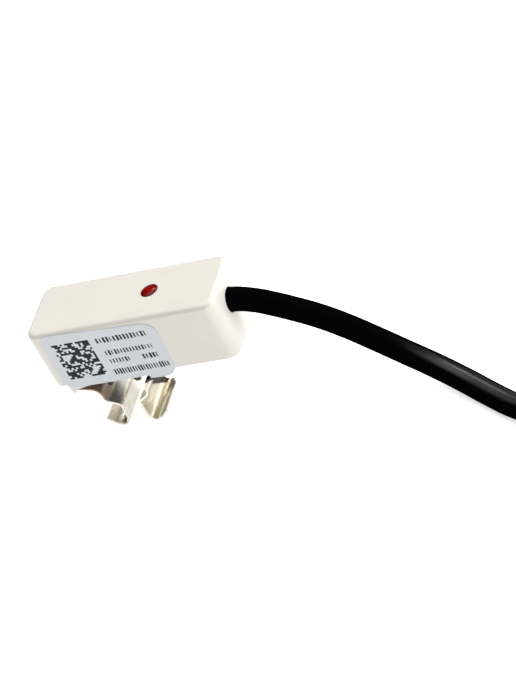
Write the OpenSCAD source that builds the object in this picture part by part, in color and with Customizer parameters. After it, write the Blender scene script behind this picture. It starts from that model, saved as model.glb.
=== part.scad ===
// Clip-on level sensor for a small hose, with its lead laid down and wound into a tied hank.
// The origin is the middle of the hose clip, on the hose's centre line.
// +X runs along the body towards the lead, +Y along the hose away from the label,
// +Z out of the face with the lamp. The clip's rolled lips and the lead stand on one surface.

/* [Body] */
// Length of the body
body_l = 33.8; // [31:0.1:38]
// Width of the body, along the hose
body_w = 12.4; // [12:0.1:15]
// Height of the body, from its rear plane to the lamp face
body_h = 11.2; // [11:0.1:14]
// Radius of the four upright corners
corner_r = 2; // [1.5:0.1:2.5]
// Rounding of the edge around the lamp face
edge_r = 0.8; // [0.5:0.1:1]
// Thickness of the cheeks and of the wall around the rear cover
rim_t = 1.5; // [1.2:0.1:1.8]
// Width of the ledge that the rear cover seats on
ledge_w = 0.4; // [0.3:0.1:0.6]
// Radius of the upright corners inside the body
cavity_r = 0.6; // [0.4:0.1:1]
// Thickness of the wall under the lamp face
roof_t = 1.4; // [1:0.1:1.8]
// Distance from the far end to the middle of the hose clip
clip_from_end = 10.2; // [10:0.1:12]

/* [Cheeks] */
// Height of the cheeks past the rear plane
cheek_h = 0.63; // [0.45:0.01:0.9]
// Height of the pointed tooth at the end of each cheek
tooth_h = 1.96; // [1.2:0.02:2.2]
// Width of the tooth at its root
tooth_w = 1.55; // [1.2:0.05:2]
// Length over which the tooth runs down into the cheek
tooth_run = 3.7; // [2.5:0.1:4.5]

/* [Rear cover] */
// Thickness of the rear cover
cover_t = 1.8; // [1.4:0.1:2.2]
// Gap around the rear cover
cover_gap = 0.05; // [0.03:0.01:0.1]
// Length of the saddle pad, along the hose
pad_l = 6; // [5:0.1:7]
// Half the angle of the hose that the saddle holds
pad_angle = 64; // [58:1:68]
// Wall of the saddle pad beside the hose
pad_wall = 0.7; // [0.6:0.05:0.9]
// Wall between the hose and the electrode
sense_wall = 0.8; // [0.6:0.1:1]
// Height of the posts under the circuit board
post_h = 1.6; // [1.2:0.1:2]
// Radius of the posts
post_r = 0.6; // [0.5:0.05:0.8]

/* [Hose clip] */
// Outside diameter of the hose that the clip holds
hose_d = 5; // [4.8:0.1:5.4]
// Distance from the rear plane to the hose's centre line
hose_drop = 5.2; // [5.1:0.05:5.8]
// Thickness of the spring strip
clip_t = 0.35; // [0.25:0.01:0.4]
// Gap between the strip and each cheek
clip_side_gap = 0.1; // [0.05:0.01:0.2]
// Free space between an arm and the hose's side
arm_gap = 1.3; // [1.1:0.05:1.5]
// Reach of the strip's base past the arm
foot_reach = 3.3; // [3:0.05:3.6]
// Bend radius of the loop at each end of the base
loop_r = 1.2; // [1.1:0.02:1.25]
// Slope of the foot that runs back from the loop
foot_slope = 14; // [10:1:16]
// Bend radius where the foot turns into the arm
elbow_r = 2; // [1.8:0.05:2.1]
// Turn of the shoulder over the hose
shoulder_turn = 60; // [56:1:62]
// Bend radius of the shoulder
shoulder_r = 1.3; // [1.1:0.05:1.4]
// Clear width of the mouth
mouth_w = 3.05; // [2.8:0.05:3.4]
// Bend radius at the mouth
mouth_r = 0.6; // [0.5:0.05:0.8]
// Outward lean of the lips
lip_lean = 4; // [2:1:8]
// Straight length of the lips
lip_l = 2.4; // [2:0.1:3]
// Bend radius of the rolled lip
roll_r = 1.45; // [1.2:0.05:1.7]
// Slope of the lip's end, back towards the body
roll_end = 40; // [30:1:50]
// Straight length of the lip's end
roll_l = 1.9; // [1.5:0.1:2.4]
// Gap between the saddle pad and the window in the strip
window_gap = 0.2; // [0.1:0.05:0.3]
// Overlap of the two barbs on the window's edge
barb_hold = 0.25; // [0.15:0.05:0.3]
// Height of the barbs
barb_h = 0.6; // [0.5:0.1:0.9]
// Length of the barbs, along the hose
barb_l = 3; // [2:0.1:4]

/* [Label] */
// Length of the label
label_l = 20.3; // [18:0.1:20.8]
// Height of the label
label_h = 11.4; // [10.8:0.1:11.5]
// Thickness of the label
label_t = 0.1; // [0.06:0.01:0.15]
// Corner radius of the label
label_r = 1.8; // [1.2:0.1:2.2]
// Slant of the label
label_slant = -2.5; // [-3:0.5:0]
// Distance from the far end to the label's middle
label_from_end = 12.55; // [12.4:0.05:12.8]
// Height of the label's middle above the rear plane
label_up = 4.7; // [4.6:0.05:4.8]
// Distance from the clip's middle to the label's loose corner
label_loose_x = 7.2; // [6.5:0.1:8]

/* [Lamp] */
// Diameter of the lamp
lamp_d = 2.9; // [2.6:0.1:3.2]
// Gap around the lamp
lamp_gap = 0.05; // [0.03:0.01:0.1]
// Rise of the lamp's lens over the face
lens_h = 0.3; // [0.2:0.05:0.5]
// Distance from the lead's end to the lamp
lamp_from_lead = 12.6; // [11.6:0.1:13]
// Sideways place of the lamp
lamp_y = 0.2; // [0:0.1:0.6]
// Length of the lamp's body
lamp_l = 4.5; // [4:0.1:5]
// Thickness of the lamp's flange
flange_t = 1; // [0.8:0.1:1.2]
// Width of the lamp's flange past its body
flange_w = 0.45; // [0.3:0.05:0.5]
// Distance between the lamp's two legs
leg_pitch = 2.54; // [2.2:0.02:2.6]
// Thickness of the lamp's legs
leg_t = 0.45; // [0.4:0.05:0.5]

/* [Electronics] */
// Thickness of the circuit board
board_t = 1; // [0.8:0.1:1.2]
// Gap between the circuit board and the walls
board_gap = 0.15; // [0.1:0.05:0.25]
// Gap between the circuit board and the end of the lead's jacket
board_to_jacket = 2.2; // [2:0.1:2.6]
// Side of the square sensing electrode
electrode_w = 4.2; // [3.6:0.1:4.3]
// Thickness of the sensing electrode
electrode_t = 0.3; // [0.2:0.05:0.4]
// Gap around the sensing electrode
electrode_gap = 0.1; // [0.05:0.05:0.2]
// Diameter of the electrode's contact pin
pin_d = 0.7; // [0.5:0.1:0.9]
// Length, width and height of the microcontroller
controller_size = [4.9, 3.9, 1.45];
// Length, width and height of the voltage regulator
regulator_size = [4.5, 2.5, 1.5];
// Length, width and height of the output transistor
transistor_size = [2.9, 1.3, 1];
// Length, width and height of the protection diode
diode_size = [2.6, 1.5, 1.1];
// Length, width and height of each capacitor
capacitor_size = [2, 1.25, 1];
// Length, width and height of each resistor
resistor_size = [1.6, 0.8, 0.5];
// Thickness of the chips' metal feet
chip_foot_t = 0.2; // [0.15:0.05:0.3]
// Length of the chips' metal feet past the chip
chip_foot_l = 0.65; // [0.5:0.05:0.7]
// Width of the chips' metal feet
chip_foot_w = 0.4; // [0.3:0.05:0.45]
// Free space between the pieces on the board, along it
part_gap = 0.6; // [0.4:0.05:0.7]
// Free space between the board's long edges and the pieces on it
part_margin = 0.25; // [0.2:0.05:0.4]
// Distance between the capacitors near the far end
capacitor_pitch = 2.4; // [1.8:0.1:2.5]
// Distance between the resistors next to them
resistor_pitch = 1.8; // [1.3:0.1:1.9]
// Width and height of each wire's solder joint
solder_w = 1.2; // [1:0.1:1.3]
// Distance between the solder joints
solder_pitch = 1.9; // [1.6:0.1:2]
// Distance from the solder joints to the board's end
solder_margin = 0.5; // [0.4:0.05:0.5]

/* [Lead] */
// Diameter of the lead's jacket
lead_d = 4; // [3.8:0.1:4.2]
// Distance from the lead's centre line to the body's side without the label
lead_side = 6.2; // [5.9:0.1:6.5]
// Distance from the lead's centre line to the lamp face
lead_down = 4.5; // [4.4:0.1:4.8]
// Length of jacket inside the body
jacket_in = 6.3; // [5.8:0.1:6.8]
// Gap around the lead in the grommet and the straps
lead_gap = 0.02; // [0.02:0.01:0.05]
// Wall of the rubber grommet
grommet_wall = 0.4; // [0.3:0.05:0.5]
// Gap around the grommet in the end wall
grommet_gap = 0.05; // [0.03:0.01:0.08]
// Thickness of the lip in front of the grommet
exit_lip = 0.4; // [0.3:0.1:0.6]
// Gap between the lead and the lip
exit_gap = 0.08; // [0.06:0.02:0.12]
// Width of the grommet's flange inside the body
grommet_flange = 0.75; // [0.6:0.05:0.85]
// Thickness of the grommet's flange inside the body
grommet_flange_t = 0.8; // [0.6:0.1:1]
// Thickness of the inner tie's strap
inner_tie_t = 0.7; // [0.5:0.1:0.8]
// Width of the inner tie's strap
inner_tie_w = 1.8; // [1.4:0.1:2]
// Diameter of each of the four cores
core_d = 1.2; // [1:0.1:1.3]
// Diameter of the tinned tips
tip_d = 0.9; // [0.7:0.05:1]
// Length of the tinned tips
tip_l = 4; // [3:0.5:5]
// Thickness of the two ties on the hank
tie_t = 0.5; // [0.4:0.05:0.6]
// Width of the two ties on the hank
tie_w = 3; // [2.5:0.1:4]
// Length of the twisted ends of the ties
tie_tail = 4.5; // [3:0.5:5]

/* [Hidden] */
$fn = 48;
eps = 0.01;

// Planes of the body
hose_r = hose_d / 2;
rear_z = hose_drop;
face_z = rear_z + body_h;
far_x = -clip_from_end;
end_x = far_x + body_l;
mid_x = (far_x + end_x) / 2;
wall_t = rim_t + ledge_w;
ledge_z = rear_z + cover_t;
roof_z = face_z - roof_t;
lamp_x = end_x - lamp_from_lead;

// Spring strip, described along its centre line from the middle of the base
clip_w = body_w - 2 * (rim_t + clip_side_gap);
arm_x = hose_r + arm_gap + clip_t / 2;
base_x = arm_x + foot_reach;
mouth_x = mouth_w / 2 + clip_t / 2;
foot_start_x = base_x + loop_r * sin(foot_slope);
foot_end_x = arm_x + elbow_r * (1 - sin(foot_slope));
foot_l = (foot_start_x - foot_end_x) / cos(foot_slope);
elbow_z = rear_z - clip_t / 2 - loop_r * (1 + cos(foot_slope)) - foot_l * sin(foot_slope)
    - elbow_r * cos(foot_slope);
shoulder_lean = 90 - shoulder_turn;
shoulder_end_x = arm_x - shoulder_r * (1 - cos(shoulder_turn));
grip_line = hose_r + clip_t / 2 - 0.07;
shoulder_end_z = -(grip_line - shoulder_end_x * sin(shoulder_lean)) / cos(shoulder_lean);
shoulder_z = shoulder_end_z + shoulder_r * sin(shoulder_turn);
mouth_turn = shoulder_turn + lip_lean;
mouth_start_x = mouth_x + mouth_r * (1 - sin(shoulder_lean));
clip_moves = [
    [base_x, loop_r, foot_slope - 180],
    [foot_l, elbow_r, 90 - foot_slope],
    [elbow_z - shoulder_z, shoulder_r, -shoulder_turn],
    [(shoulder_end_x - mouth_start_x) / cos(shoulder_lean), mouth_r, mouth_turn],
    [lip_l, roll_r, 90 - lip_lean + roll_end],
    [roll_l, 0, 0]];
clip_path = concat([[0, rear_z - clip_t / 2, 0]], walk(clip_moves, [0, rear_z - clip_t / 2], 0));
floor_z = min([for (p = clip_path) p[1]]) - clip_t / 2;
window_x = pad_x() + window_gap;
window_y = pad_l / 2 + window_gap;

// Circuit board
board_z = ledge_z + post_h;
board_top = board_z + board_t;
jacket_end_x = end_x - jacket_in;
board_x0 = far_x + wall_t + board_gap;
board_x1 = jacket_end_x - board_to_jacket;
board_w = body_w - 2 * (wall_t + board_gap);
solder_x = board_x1 - solder_margin - solder_w / 2;

// Places of the pieces along the board, one after another from the far end
capacitor_x = board_x0 + part_gap + capacitor_size[0] / 2;
resistor_x = capacitor_x + (capacitor_size[0] + resistor_size[0]) / 2 + part_gap;
controller_x = resistor_x + (resistor_size[0] + controller_size[0]) / 2 + part_gap;
regulator_x = controller_x + (controller_size[0] + regulator_size[0]) / 2 + part_gap;
transistor_x = controller_x + (controller_size[0] + transistor_size[0]) / 2 + part_gap;
diode_x = transistor_x + (transistor_size[0] + diode_size[0]) / 2 + part_gap;
output_capacitor_x = regulator_x + (regulator_size[0] + capacitor_size[0]) / 2 + part_gap;
output_resistor_x = regulator_x + (regulator_size[0] + resistor_size[0]) / 2 + part_gap;
part_edge = board_w / 2 - part_margin;

// Lead: its centre at the body, and the places of the four cores in its jacket
lead_y = body_w / 2 - lead_side;
lead_z = face_z - lead_down;
lead_r = lead_d / 2;
core_r = core_d / 2;
core_places = [[0.62, 0.62], [-0.62, 0.62], [-0.62, -0.62], [0.62, -0.62]];
solder_places = [for (i = [1.5, -1.5, -0.5, 0.5]) i * solder_pitch];

// Route of the free lead, from inside the body to the hank
lead_route = [[jacket_end_x, lead_y, lead_z], [end_x, lead_y, lead_z],
    [25.2, -0.05, 11.7], [27.5, -0.22, 11.1], [30.1, -0.47, 10.05], [33, -0.77, 8.68],
    [36.5, -1.15, 6.84], [40.6, -1.97, 4.54], [45, -3.07, 1.76], [49.5, -4.4, -1], [54, -6.4, -2.8],
    [59, -9.6, -3.8], [64, -13.4, -4.2], [69, -17, -4.35], [74, -19.6, -4.2],
    [80, -20.5, -3.9], [92, -20.5, -3.9]];

// Hank: two strands side by side and a third on top along the front run and the right fold
hank_x0 = 92;
hank_run = 41;
hank_y = -4.5;
inner_fold = 12;
outer_fold = 16;
strand_z = -3.9;
hank_z = strand_z - lead_d / 2;
upper_rise = 3.46;
mid_fold = (inner_fold + outer_fold) / 2;
tie_x = hank_x0 + hank_run / 2;
front_strands = [[-outer_fold, 0], [-inner_fold, 0], [-mid_fold, upper_rise]];
back_strands = [[outer_fold, 0], [inner_fold, 0]];

// Route of the lead's last stretch, from the top of the hank down into its middle
tail_route = [[144.9, -9, 0.1], [144.9, -7.4, 0.1], [144.5, -5.1, 0.12], [143.5, -2.9, 0.12],
    [141.8, -0.8, 0.1], [139.7, 0.9, -0.3], [137.2, 1.9, -1.2], [134.5, 2.3, -2.3],
    [130.5, 2.5, -3.5], [126.5, 2.4, -4.2], [122.5, 2.2, -4.4], [121, 2.2, -4.4]];
bare_routes = [
    [[116, 3.8, -4.5], [110, 4.5, -5.6], [103, 4.3, -5.8], [98, 4, -5.8]],
    [[116, 1.1, -4.3], [110, -0.6, -5.6], [103, -1.4, -5.8], [97, -1.5, -5.8]],
    [[116, 0.7, -5.5], [110, -2.6, -5.78], [103, -4.8, -5.8], [98, -5.2, -5.8]],
    [[116, 2.6, -5.5], [111.5, 2.4, -5.78], [105.5, 1.7, -5.8], [100.5, 1.3, -5.8]]];

// Half the width of the saddle pad
function pad_x() = hose_r * sin(pad_angle) + pad_wall;

// Points and headings along a strip that goes straight, turns by an arc, and so on
function walk(moves, p, h, i = 0) =
    i == len(moves) ? [] :
    let (m = moves[i], s = sign(m[2]), q = p + m[0] * [cos(h), sin(h)],
        c = q + s * m[1] * [-sin(h), cos(h)], n = ceil(abs(m[2]) / 10),
        bend = [for (k = [1:1:n]) let (g = h + m[2] * k / n)
            [c[0] + s * m[1] * sin(g), c[1] - s * m[1] * cos(g), g]],
        stop = n == 0 ? q : [bend[n - 1][0], bend[n - 1][1]])
    concat([[q[0], q[1], h]], bend, walk(moves, stop, h + m[2], i + 1));

// Outline of a strip of one thickness along such points
function strip_outline(path, t) = concat(
    [for (p = path) [p[0] - t / 2 * sin(p[2]), p[1] + t / 2 * cos(p[2])]],
    [for (i = [len(path) - 1:-1:0]) let (p = path[i])
        [p[0] + t / 2 * sin(p[2]), p[1] - t / 2 * cos(p[2])]]);

function unit(v) = v / norm(v);

// Direction of a route at one of its points
function heading(route, i) = unit(
    route[min(i + 1, len(route) - 1)] - route[max(i - 1, 0)]);

// Ring of points around one point of a route
function ring(route, i, r, n) =
    let (t = heading(route, i), side = unit(cross(t, [0, 0, 1])), up = cross(side, t))
    [for (k = [0:n - 1]) route[i] + r * (cos(360 * k / n) * side + sin(360 * k / n) * up)];

// Rectangle with round corners, about its middle
module round_rect(l, w, r) {
    square([l, w - 2 * r], center = true);
    square([l - 2 * r, w], center = true);
    for (x = [-1, 1], y = [-1, 1])
        translate([x * (l / 2 - r), y * (w / 2 - r)]) circle(r);
}

// Block with upright round corners and a rounded top edge
module soft_block(l, w, h, r, f) {
    translate([0, w / 2 - r, 0]) rotate([90, 0, 0]) linear_extrude(w - 2 * r)
        soft_outline(l, h, f);
    translate([r - l / 2, 0, 0]) rotate([90, 0, 90]) linear_extrude(l - 2 * r)
        soft_outline(w, h, f);
    for (x = [-1, 1], y = [-1, 1]) translate([x * (l / 2 - r), y * (w / 2 - r), 0])
        rotate_extrude() {
            square([r - f, h]);
            square([r, h - f]);
            translate([r - f, h - f]) circle(f);
        }
}

// Section of such a block
module soft_outline(l, h, f) {
    translate([-l / 2, 0]) square([l, h - f]);
    translate([f - l / 2, 0]) square([l - 2 * f, h]);
    for (x = [-1, 1]) translate([x * (l / 2 - f), h - f]) circle(f);
}

// Box that stands on a plane, about its middle
module box(size, place) {
    translate([place[0] - size[0] / 2, place[1] - size[1] / 2, place[2]]) cube(size);
}

// Extrusion of an XZ outline, between two places along Y
module across(y0, y1) {
    translate([0, y1, 0]) rotate([90, 0, 0]) linear_extrude(y1 - y0) children();
}

// Round tube along a route
module sweep(route, r, n) {
    count = len(route);
    polyhedron(
        points = [for (i = [0:count - 1]) each ring(route, i, r, n)],
        faces = concat(
            [[for (k = [0:n - 1]) k]],
            [for (i = [0:count - 2], k = [0:n - 1]) let (a = i * n, b = (k + 1) % n)
                each [[a + k, a + n + k, a + b], [a + b, a + n + k, a + n + b]]],
            [[for (k = [n - 1:-1:0]) (count - 1) * n + k]]));
}

// Side outline of a cheek, with the tooth at its far end
module cheek_outline() {
    polygon([[-base_x - 0.45, rear_z + rim_t], [-base_x - 0.45, rear_z],
        [-base_x, rear_z - tooth_h], [-base_x + 0.3, rear_z - tooth_h + 0.15],
        [-base_x + tooth_w - 0.45, rear_z - tooth_h * 0.58],
        [-base_x + tooth_run, rear_z - cheek_h], [base_x - 0.3, rear_z - cheek_h],
        [base_x, rear_z], [base_x, rear_z + rim_t]]);
}

// White moulded body, open at the rear, with a cheek on each side of the clip
module housing() {
    color("whitesmoke") difference() {
        union() {
            translate([mid_x, 0, rear_z]) soft_block(body_l, body_w, body_h, corner_r, edge_r);
            across(-body_w / 2, rim_t - body_w / 2) cheek_outline();
            across(body_w / 2 - rim_t, body_w / 2) cheek_outline();
        }
        translate([mid_x, 0, rear_z - eps]) linear_extrude(cover_t + eps)
            round_rect(body_l - 2 * rim_t, body_w - 2 * rim_t, corner_r - rim_t / 2);
        translate([mid_x, 0, rear_z]) linear_extrude(body_h - roof_t)
            round_rect(body_l - 2 * wall_t, body_w - 2 * wall_t, cavity_r);
        translate([lamp_x, lamp_y, roof_z - 1]) cylinder(d = lamp_d + 2 * lamp_gap, h = roof_t + 2);
        translate([end_x + 1, lead_y, lead_z]) rotate([0, -90, 0])
            cylinder(r = lead_r + exit_gap, h = wall_t + 2);
        translate([end_x - exit_lip, lead_y, lead_z]) rotate([0, -90, 0])
            cylinder(r = lead_r + grommet_wall + grommet_gap, h = wall_t);
    }
}

// Dark cover glued into the rear, with the saddle pad for the hose and posts for the board
module rear_cover() {
    pad_z = hose_r * cos(pad_angle);
    pocket = electrode_w + 2 * electrode_gap;
    color("dimgray") difference() {
        union() {
            translate([mid_x, 0, rear_z]) linear_extrude(cover_t)
                round_rect(body_l - 2 * (rim_t + cover_gap), body_w - 2 * (rim_t + cover_gap),
                    corner_r - rim_t / 2 - cover_gap);
            box([2 * pad_x(), pad_l, rear_z - pad_z + 1], [0, 0, pad_z]);
            for (side = [0, 1]) mirror([side, 0, 0]) across(-barb_l / 2, barb_l / 2)
                polygon([[pad_x() - eps, rear_z - clip_t],
                    [pad_x() + window_gap + barb_hold, rear_z - clip_t],
                    [pad_x() + window_gap + barb_hold, rear_z - clip_t - 0.15],
                    [pad_x() - eps, rear_z - clip_t - barb_h]]);
            for (x = [board_x0 + 1.2, board_x1 - 1.2], y = [-1, 1])
                translate([x, y * (board_w / 2 - 1.2), rear_z]) cylinder(r = post_r, h = board_z - rear_z);
        }
        rotate([90, 0, 0]) cylinder(r = hose_r, h = pad_l + 2, center = true);
        box([pocket, pocket, body_h], [0, 0, hose_r + sense_wall]);
    }
}

// Spring steel strip: a flat base with a window, a loop at each end, two arms over the hose
// and two rolled lips
module spring_clip() {
    color("tan") difference() {
        for (side = [0, 1]) mirror([side, 0, 0]) across(-clip_w / 2, clip_w / 2)
            polygon(strip_outline(clip_path, clip_t));
        box([2 * window_x, 2 * window_y, 1], [0, 0, rear_z - 0.6]);
    }
}

// Stuck-on label. It is cut along the cheek's edge, up to its one loose corner
module label() {
    color("lightsteelblue") across(-body_w / 2 - label_t, -body_w / 2) difference() {
        translate([far_x + label_from_end, rear_z + label_up]) rotate(label_slant)
            round_rect(label_l, label_h, label_r);
        translate([label_loose_x - body_l, rear_z - cheek_h - 5]) square([body_l, 5]);
    }
}

// Red lamp with a low lens
module indicator_led() {
    lens_r = (lamp_d * lamp_d / 4 + lens_h * lens_h) / (2 * lens_h);
    color("firebrick") translate([lamp_x, lamp_y, 0]) {
        intersection() {
            translate([0, 0, face_z - lamp_l]) cylinder(d = lamp_d, h = lamp_l + lens_h);
            translate([0, 0, face_z + lens_h - lens_r]) sphere(lens_r, $fn = 96);
        }
        translate([0, 0, face_z - lamp_l]) cylinder(d = lamp_d + 2 * flange_w, h = flange_t);
    }
}

// Two legs of the lamp, down to the board
module led_legs() {
    color("silver") for (x = [-1, 1])
        box([leg_t, leg_t, face_z - lamp_l - board_top],
            [lamp_x + x * leg_pitch / 2, lamp_y, board_top]);
}

// Circuit board on its posts
module circuit_board() {
    color("darkgreen") translate([(board_x0 + board_x1) / 2, 0, board_z]) linear_extrude(board_t)
        round_rect(board_x1 - board_x0, board_w, cavity_r);
}

// Copper plate behind the saddle
module sensing_electrode() {
    color("peru") box([electrode_w, electrode_w, electrode_t], [0, 0, hose_r + sense_wall]);
}

// Pin from the electrode up to the board
module electrode_pin() {
    foot = hose_r + sense_wall + electrode_t;
    color("gold") translate([0, 0, foot]) cylinder(d = pin_d, h = board_z - foot);
}

// Chip on the board: a block with a row of metal feet along each long side
module chip(size, x, y, feet) {
    box(size, [x, y, board_top]);
    for (i = [0:feet - 1], side = [-1, 1])
        box([chip_foot_w, chip_foot_l + eps, chip_foot_t],
            [x + (i - (feet - 1) / 2) * size[0] / feet, y + side * (size[1] + chip_foot_l - eps) / 2,
            board_top]);
}

module microcontroller() {
    color("dimgray") chip(controller_size, controller_x, 0, 4);
}

module voltage_regulator() {
    color("dimgray")
        chip(regulator_size, regulator_x, regulator_size[1] / 2 + chip_foot_l - part_edge, 3);
}

module output_transistor() {
    color("dimgray")
        chip(transistor_size, transistor_x, part_edge - chip_foot_l - transistor_size[1] / 2, 2);
}

module protection_diode() {
    color("dimgray") box(diode_size, [diode_x, part_edge - chip_foot_l - diode_size[1] / 2, board_top]);
}

// Three capacitors near the far end and one by the regulator's output
module capacitors() {
    color("tan") {
        for (i = [-1:1]) box(capacitor_size, [capacitor_x, i * capacitor_pitch, board_top]);
        box(capacitor_size, [output_capacitor_x,
            resistor_size[1] + part_gap + capacitor_size[1] / 2 - part_edge, board_top]);
    }
}

// Four resistors next to the capacitors and one by the regulator's output
module resistors() {
    color("darkslategray") {
        for (i = [-1.5:1.5]) box(resistor_size, [resistor_x, i * resistor_pitch, board_top]);
        box(resistor_size, [output_resistor_x, resistor_size[1] / 2 - part_edge, board_top]);
    }
}

// Solder on the pads of the four cores
module solder_joints() {
    color("silver") for (y = solder_places) box([solder_w, solder_w, solder_w], [solder_x, y, board_top]);
}

// Core from the lead's jacket to its solder joint. The upper two go over the lower two
module core_inside(i) {
    place = core_places[i];
    pad = [solder_x + solder_w / 2, solder_places[i], board_top + core_r];
    start = [jacket_end_x, lead_y + place[0], lead_z + place[1]];
    arch = place[1] > 0 ? core_r : 0;
    sweep([start, start - [0.4, 0, 0], (start + pad) / 2 + [0, 0, arch], pad + [0.4, 0, 0], pad],
        core_r, 8);
}

module brown_core_inside() {
    color("saddlebrown") core_inside(0);
}

module yellow_core_inside() {
    color("gold") core_inside(1);
}

module blue_core_inside() {
    color("royalblue") core_inside(2);
}

module black_core_inside() {
    color("black") core_inside(3);
}

// Strap around the jacket inside the body, with its head, that keeps the lead from being pulled out
module inner_tie() {
    tie_x0 = end_x - wall_t - grommet_flange_t - inner_tie_w;
    color("ivory") difference() {
        union() {
            translate([tie_x0, lead_y, lead_z]) rotate([0, 90, 0])
                cylinder(r = lead_r + inner_tie_t, h = inner_tie_w);
            box([inner_tie_w, 1.2, lead_d], [tie_x0 + inner_tie_w / 2, lead_y + lead_r + 0.6,
                lead_z - lead_r]);
        }
        translate([tie_x0 - 1, lead_y, lead_z]) rotate([0, 90, 0])
            cylinder(r = lead_r + lead_gap, h = inner_tie_w + 2);
    }
}

// Rubber sleeve in the end wall, around the jacket
module cable_grommet() {
    inner_x = end_x - wall_t;
    color("black") translate([0, lead_y, lead_z]) rotate([0, 90, 0]) difference() {
        union() {
            translate([0, 0, inner_x]) cylinder(r = lead_r + grommet_wall, h = wall_t - exit_lip);
            translate([0, 0, inner_x - grommet_flange_t])
                cylinder(r = lead_r + grommet_flange, h = grommet_flange_t);
        }
        translate([0, 0, inner_x - grommet_flange_t - 1])
            cylinder(r = lead_r + lead_gap, h = body_l);
    }
}

module cable_lead() {
    color("black") sweep(lead_route, lead_r, 12);
}

module cable_tail() {
    color("black") sweep(tail_route, lead_r, 12);
}

// Outline of the hank at one distance from its middle line
module hank_outline(r) {
    for (x = [0, hank_run]) translate([hank_x0 + x, hank_y]) circle(r);
    translate([hank_x0, hank_y - r]) square([hank_run, 2 * r]);
}

// Section of a few strands drawn together, from their places beside the hank's middle line
module strands_outline(strands, r) {
    for (a = strands) translate(a) circle(r);
    for (i = [1:len(strands) - 1], j = [0:i - 1]) let (a = strands[i], step = strands[j] - a)
        translate(a) rotate(atan2(step[1], step[0])) translate([0, -r]) square([norm(step), 2 * r]);
}

// Stretch of such a section along a run, at the tie
module strands_at_tie(strands, r, w) {
    translate([tie_x - w / 2, hank_y, strand_z]) rotate([90, 0, 90]) linear_extrude(w)
        strands_outline(strands, r);
}

// Outer shape of the hank, narrower under the two ties. The lead runs in beside its left fold,
// and the last strand leaves the top of its right fold
module cable_hank() {
    slot = tie_w + 2 * eps;
    tall = lead_d + upper_rise;
    color("black") difference() {
        translate([0, 0, hank_z]) linear_extrude(tall) difference() {
            hank_outline(outer_fold + lead_r);
            hank_outline(inner_fold - lead_r);
        }
        translate([hank_x0 - hank_run, hank_y - outer_fold + lead_r - 10, hank_z - 1])
            cube([hank_run, 10, tall + 2]);
        translate([hank_x0, tail_route[0][1], hank_z + lead_d]) cube([2 * hank_run, 30, tall]);
        for (strands = [front_strands, back_strands]) difference() {
            box([slot, 12, 12], [tie_x, hank_y + sign(strands[0][0]) * mid_fold, hank_z - 2]);
            strands_at_tie(strands, lead_r, slot + 2);
        }
    }
}

// Flat tie around the strands, with its ends twisted together
module hank_tie(strands) {
    y = hank_y + max([for (s = strands) s[0]]) + lead_r + tie_t;
    difference() {
        strands_at_tie(strands, lead_r + tie_t, tie_w);
        strands_at_tie(strands, lead_r + lead_gap, tie_w + 2);
    }
    translate([tie_x, y, strand_z]) rotate([90, 0, 180]) translate([0, 0, -0.2])
        linear_extrude(tie_tail, twist = 540, slices = 18)
            square([1.3, 0.6], center = true);
}

module front_tie() {
    color("dimgray") hank_tie(front_strands);
}

module back_tie() {
    color("dimgray") hank_tie(back_strands);
}

// Bare core past the end of the jacket
module core_outside(i) {
    stop = tail_route[len(tail_route) - 1];
    start = stop + [0, core_places[i][0], core_places[i][1]];
    sweep(concat([start, start - [1, 0, 0]], bare_routes[i]), core_r, 8);
}

module brown_core() {
    color("saddlebrown") core_outside(0);
}

module yellow_core() {
    color("gold") core_outside(1);
}

module blue_core() {
    color("royalblue") core_outside(2);
}

module black_core() {
    color("black") core_outside(3);
}

// Tinned copper at the end of each core
module tinned_tips() {
    color("silver") for (route = bare_routes) {
        p = route[len(route) - 1];
        t = heading(route, len(route) - 1);
        sweep([p, p + tip_l * t], tip_d / 2, 8);
    }
}

housing();
rear_cover();
spring_clip();
label();
indicator_led();
led_legs();
circuit_board();
sensing_electrode();
electrode_pin();
microcontroller();
voltage_regulator();
output_transistor();
protection_diode();
capacitors();
resistors();
solder_joints();
brown_core_inside();
yellow_core_inside();
blue_core_inside();
black_core_inside();
inner_tie();
cable_grommet();
cable_lead();
cable_hank();
cable_tail();
front_tie();
back_tie();
brown_core();
yellow_core();
blue_core();
black_core();
tinned_tips();
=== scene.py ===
"""Dresses the clip-on level sensor and sets it on a studio stage.

It makes the lead, the label and the lamp, and finishes the body, its clip and the inner pieces.
"""

import math

import bmesh
import bpy
from bpy.props import (
    BoolProperty,
    FloatProperty,
    FloatVectorProperty,
    IntProperty,
    PointerProperty,
)
from mathutils import Matrix, Vector


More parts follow.
